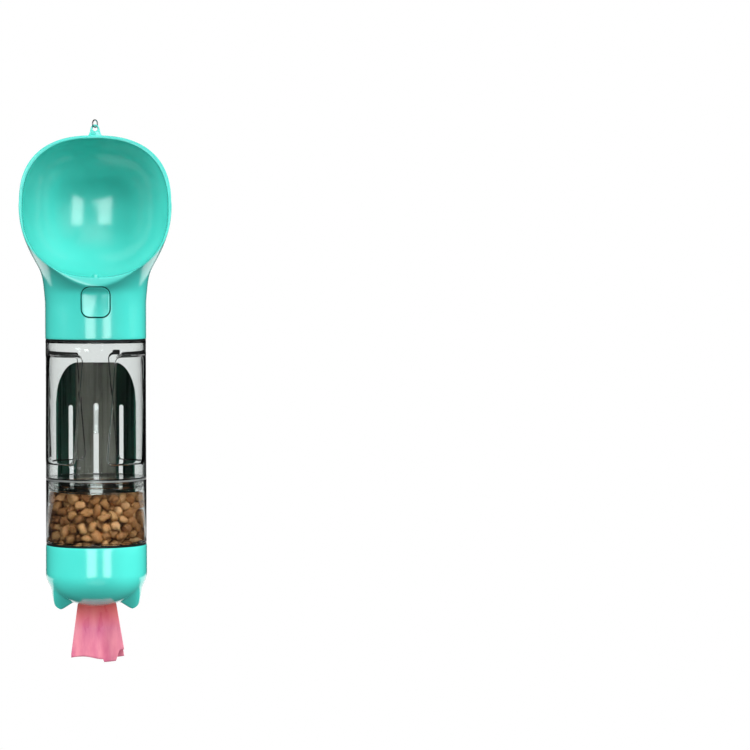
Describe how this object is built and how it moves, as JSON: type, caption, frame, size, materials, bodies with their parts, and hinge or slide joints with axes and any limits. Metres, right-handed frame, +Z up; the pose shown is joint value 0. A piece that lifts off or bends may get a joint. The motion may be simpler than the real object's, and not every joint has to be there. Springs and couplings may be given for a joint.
{
  "type": "pet travel water bottle",
  "caption": "Hand-held pet water bottle with spoon-shaped drinking head, push button, clear bottle, food cup, waste bag box and a shovel on the back.",
  "frame": {"origin": "inside top of the hanging ring, where it bears on a hook or cord", "axes": "+Z up along the bottle, the drinking bowl faces -Y, +X to the right seen from the bowl's side"},
  "size_m": [0.0942, 0.0687, 0.34],
  "materials": {
    "bright_wire": "polished wire",
    "mint_plastic": "glossy moulded plastic",
    "clear_plastic": "clear moulded plastic",
    "dark_shovel": "dark moulded plastic",
    "inner_plastic": "plain moulded plastic",
    "black_rubber": "soft black rubber",
    "clear_silicone": "soft clear silicone",
    "spring_steel": "spring wire",
    "kibble": "baked kibble pellets",
    "pink_film": "thin waste bag film",
    "roll_film": "wound waste bag film",
    "tube_board": "wound board tube"
  },
  "bodies": {
    "hanger": {"hang_ring": "bright_wire"},
    "head": {"head_shell": "mint_plastic", "valve_housing": "inner_plastic", "valve_seat": "black_rubber", "valve_spring": "spring_steel", "outlet_nozzle": "inner_plastic", "button_seal": "black_rubber", "neck_collar": "inner_plastic"},
    "button": {"dispense_button": "mint_plastic"},
    "valve": {"valve_stem": "inner_plastic", "valve_plug": "black_rubber"},
    "neck_seal": {"neck_seal_ring": "black_rubber"},
    "bottle": {"water_bottle": "clear_plastic"},
    "shovel": {"shovel": "dark_shovel"},
    "cup_seal": {"cup_gasket": "clear_silicone"},
    "cup": {"food_cup": "clear_plastic", "kibble_fill": "kibble"},
    "box_seal": {"base_seal_ring": "black_rubber"},
    "box": {"bag_box": "mint_plastic"},
    "tail": {"bag_tail": "pink_film"},
    "roll": {"bag_roll": "roll_film", "roll_core": "tube_board"}
  },
  "joints": [
    {"name": "swing", "type": "hinge", "parent": "hanger", "child": "head", "pos_m": [0, 0, -0.00505], "axis": [0, 1, 0], "range_deg": [-30, 30]},
    {"name": "button_press", "type": "slide", "parent": "head", "child": "button", "axis": [0, 1, 0], "range_m": [0, 0.002], "stiffness_N_per_m": 500, "springref_m": -0.002},
    {"name": "valve_open", "type": "slide", "parent": "head", "child": "valve", "axis": [0, 0, -1], "range_m": [0, 0.002], "deforming": ["valve_spring"]},
    {"name": "bottle_drop", "type": "slide", "parent": "head", "child": "neck_seal", "axis": [0, 0, -1], "range_m": [0, 0.006]},
    {"name": "bottle_turn", "type": "hinge", "parent": "neck_seal", "child": "bottle", "pos_m": [0, 0.0167, -0.13565], "axis": [0, 0, -1], "range_deg": [0, 720]},
    {"name": "shovel_slide", "type": "slide", "parent": "bottle", "child": "shovel", "axis": [0, 0, 1], "range_m": [0, 0.0505]},
    {"name": "cup_drop", "type": "slide", "parent": "bottle", "child": "cup_seal", "axis": [0, 0, -1], "range_m": [0, 0.0045]},
    {"name": "cup_turn", "type": "hinge", "parent": "cup_seal", "child": "cup", "pos_m": [0, 0.0167, -0.22365], "axis": [0, 0, -1], "range_deg": [0, 540]},
    {"name": "box_drop", "type": "slide", "parent": "cup", "child": "box_seal", "axis": [0, 0, -1], "range_m": [0, 0.0045]},
    {"name": "box_turn", "type": "hinge", "parent": "box_seal", "child": "box", "pos_m": [0, 0.0167, -0.26465], "axis": [0, 0, -1], "range_deg": [0, 540]},
    {"name": "tail_pull", "type": "slide", "parent": "box", "child": "tail", "axis": [0, 0, -1], "range_m": [0, 0.008]},
    {"name": "roll_turn", "type": "hinge", "parent": "box", "child": "roll", "pos_m": [0, 0.0167, -0.281], "axis": [1, 0, 0], "range_deg": [0, 36.8]}
  ],
  "couplings": [
    {"joint": "valve_open", "follows": "button_press", "ratio": 1},
    {"joint": "bottle_drop", "follows": "bottle_turn", "m_per_rad": 0.000477},
    {"joint": "cup_drop", "follows": "cup_turn", "m_per_rad": 0.000477},
    {"joint": "box_drop", "follows": "box_turn", "m_per_rad": 0.000477},
    {"joint": "roll_turn", "follows": "tail_pull", "rad_per_m": 80}
  ]
}
